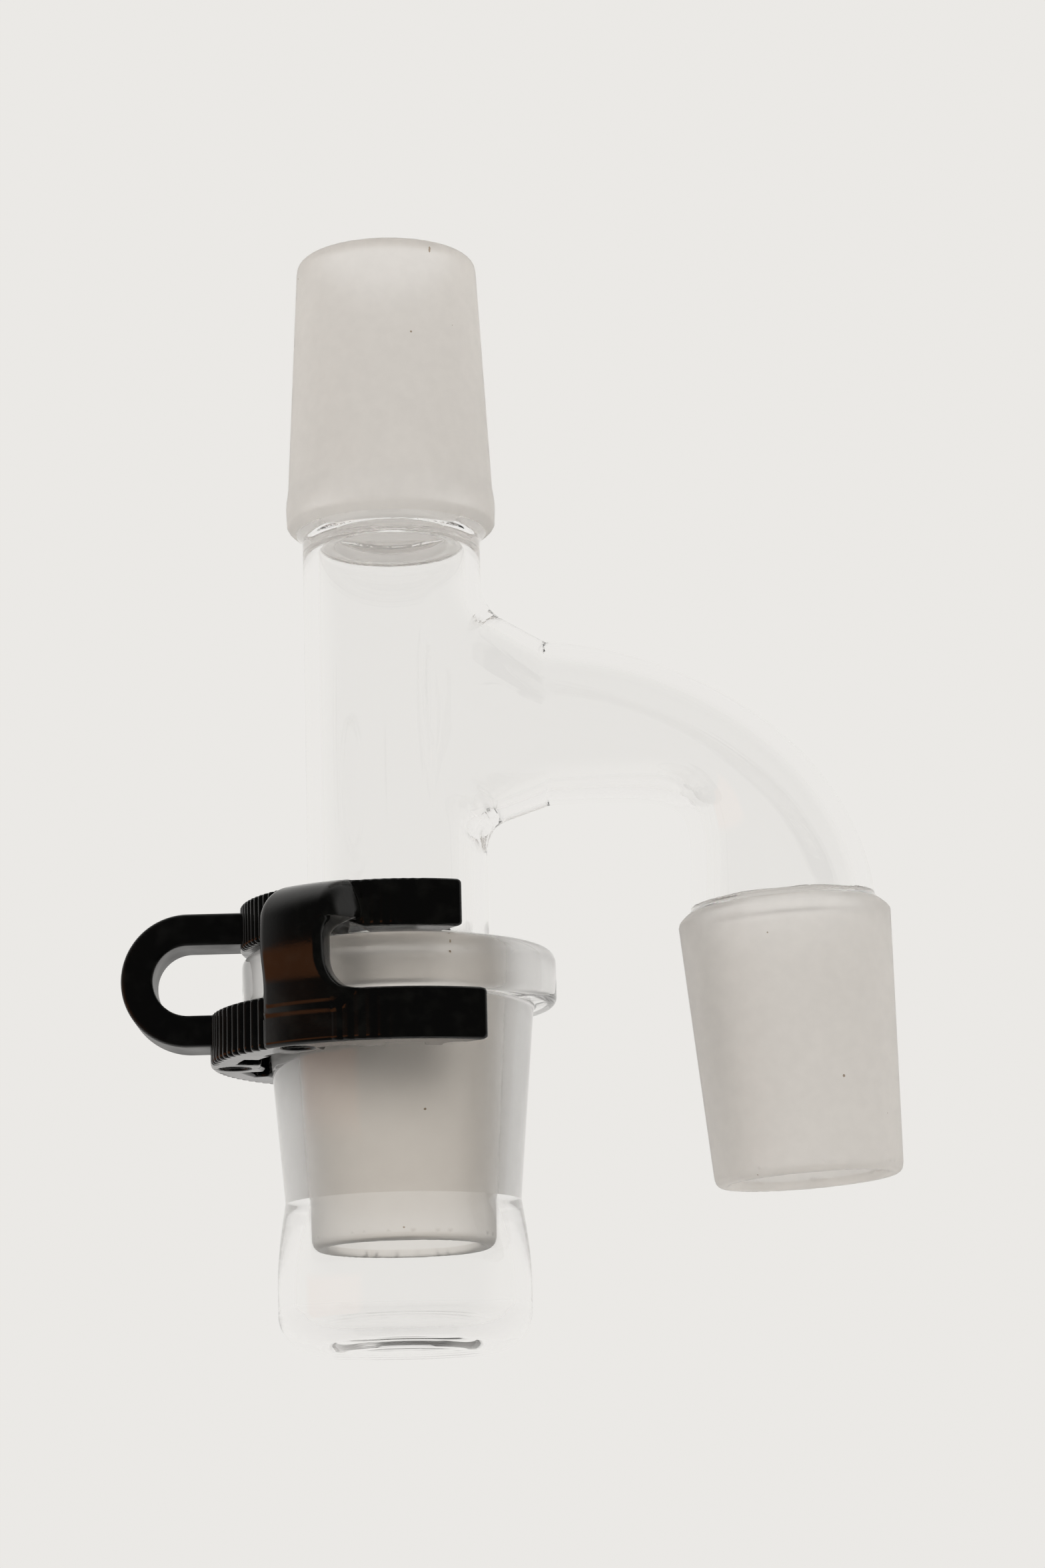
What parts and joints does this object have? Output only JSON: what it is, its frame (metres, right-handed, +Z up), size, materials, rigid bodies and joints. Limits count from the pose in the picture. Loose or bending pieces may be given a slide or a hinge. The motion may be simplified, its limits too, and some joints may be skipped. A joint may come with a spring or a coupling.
{
  "type": "glass receiver adapter with clipped cup",
  "caption": "Clear glass tube adapter with ground cones and a side arm that bends down, and a small receiver cup held on its lower cone by a black push-on joint clip.",
  "frame": {"origin": "centre of the cup's flat base, on the axis of the body tube", "axes": "+Z up along the body tube, +X towards the side arm, +Y to the rear; the part is symmetric about the XZ plane"},
  "size_m": [0.0681, 0.0334, 0.0991],
  "materials": {
    "clear_glass": "clear borosilicate glass, fire polished",
    "ground_glass": "finely ground, translucent grey-white glass",
    "black_plastic": "black moulded acetal with a soft sheen and fine grip serrations"
  },
  "bodies": {
    "adapter": {"top_cone": "ground_glass", "top_seal": "clear_glass", "body_tube": "clear_glass", "branch_weld": "clear_glass", "side_arm": "clear_glass", "arm_seal": "clear_glass", "side_cone": "ground_glass", "bottom_seal": "clear_glass", "bottom_cone": "ground_glass"},
    "cup": {"cup_flange": "ground_glass", "cup_socket": "ground_glass", "cup_bowl": "clear_glass"},
    "clip": {"finger_loop": "black_plastic", "clip_upper_back": "black_plastic", "clip_lower_back": "black_plastic"},
    "front_jaw": {"front_upper_arm": "black_plastic", "front_lower_arm": "black_plastic", "front_strap": "black_plastic"},
    "rear_jaw": {"rear_upper_arm": "black_plastic", "rear_lower_arm": "black_plastic", "rear_strap": "black_plastic"}
  },
  "joints": [
    {"name": "cup_twist", "type": "hinge", "parent": "adapter", "child": "cup", "pos_m": [0, 0, 0.022], "axis": [0, 0, 1], "range_deg": [-90, 90]},
    {"name": "clip_pull", "type": "slide", "parent": "cup", "child": "clip", "axis": [-1, 0, 0], "range_m": [0, 0.022]},
    {"name": "front_jaw_flex", "type": "hinge", "parent": "clip", "child": "front_jaw", "pos_m": [-0.01384, -0.00969, 0.032], "axis": [0, 0, -1], "range_deg": [0, 10.5]},
    {"name": "rear_jaw_flex", "type": "hinge", "parent": "clip", "child": "rear_jaw", "pos_m": [-0.01384, 0.00969, 0.032], "axis": [0, 0, 1], "range_deg": [0, 10.5]}
  ],
  "couplings": [
    {"joint": "front_jaw_flex", "follows": "clip_pull", "rad_per_m": 7.85},
    {"joint": "rear_jaw_flex", "follows": "clip_pull", "rad_per_m": 7.85}
  ]
}
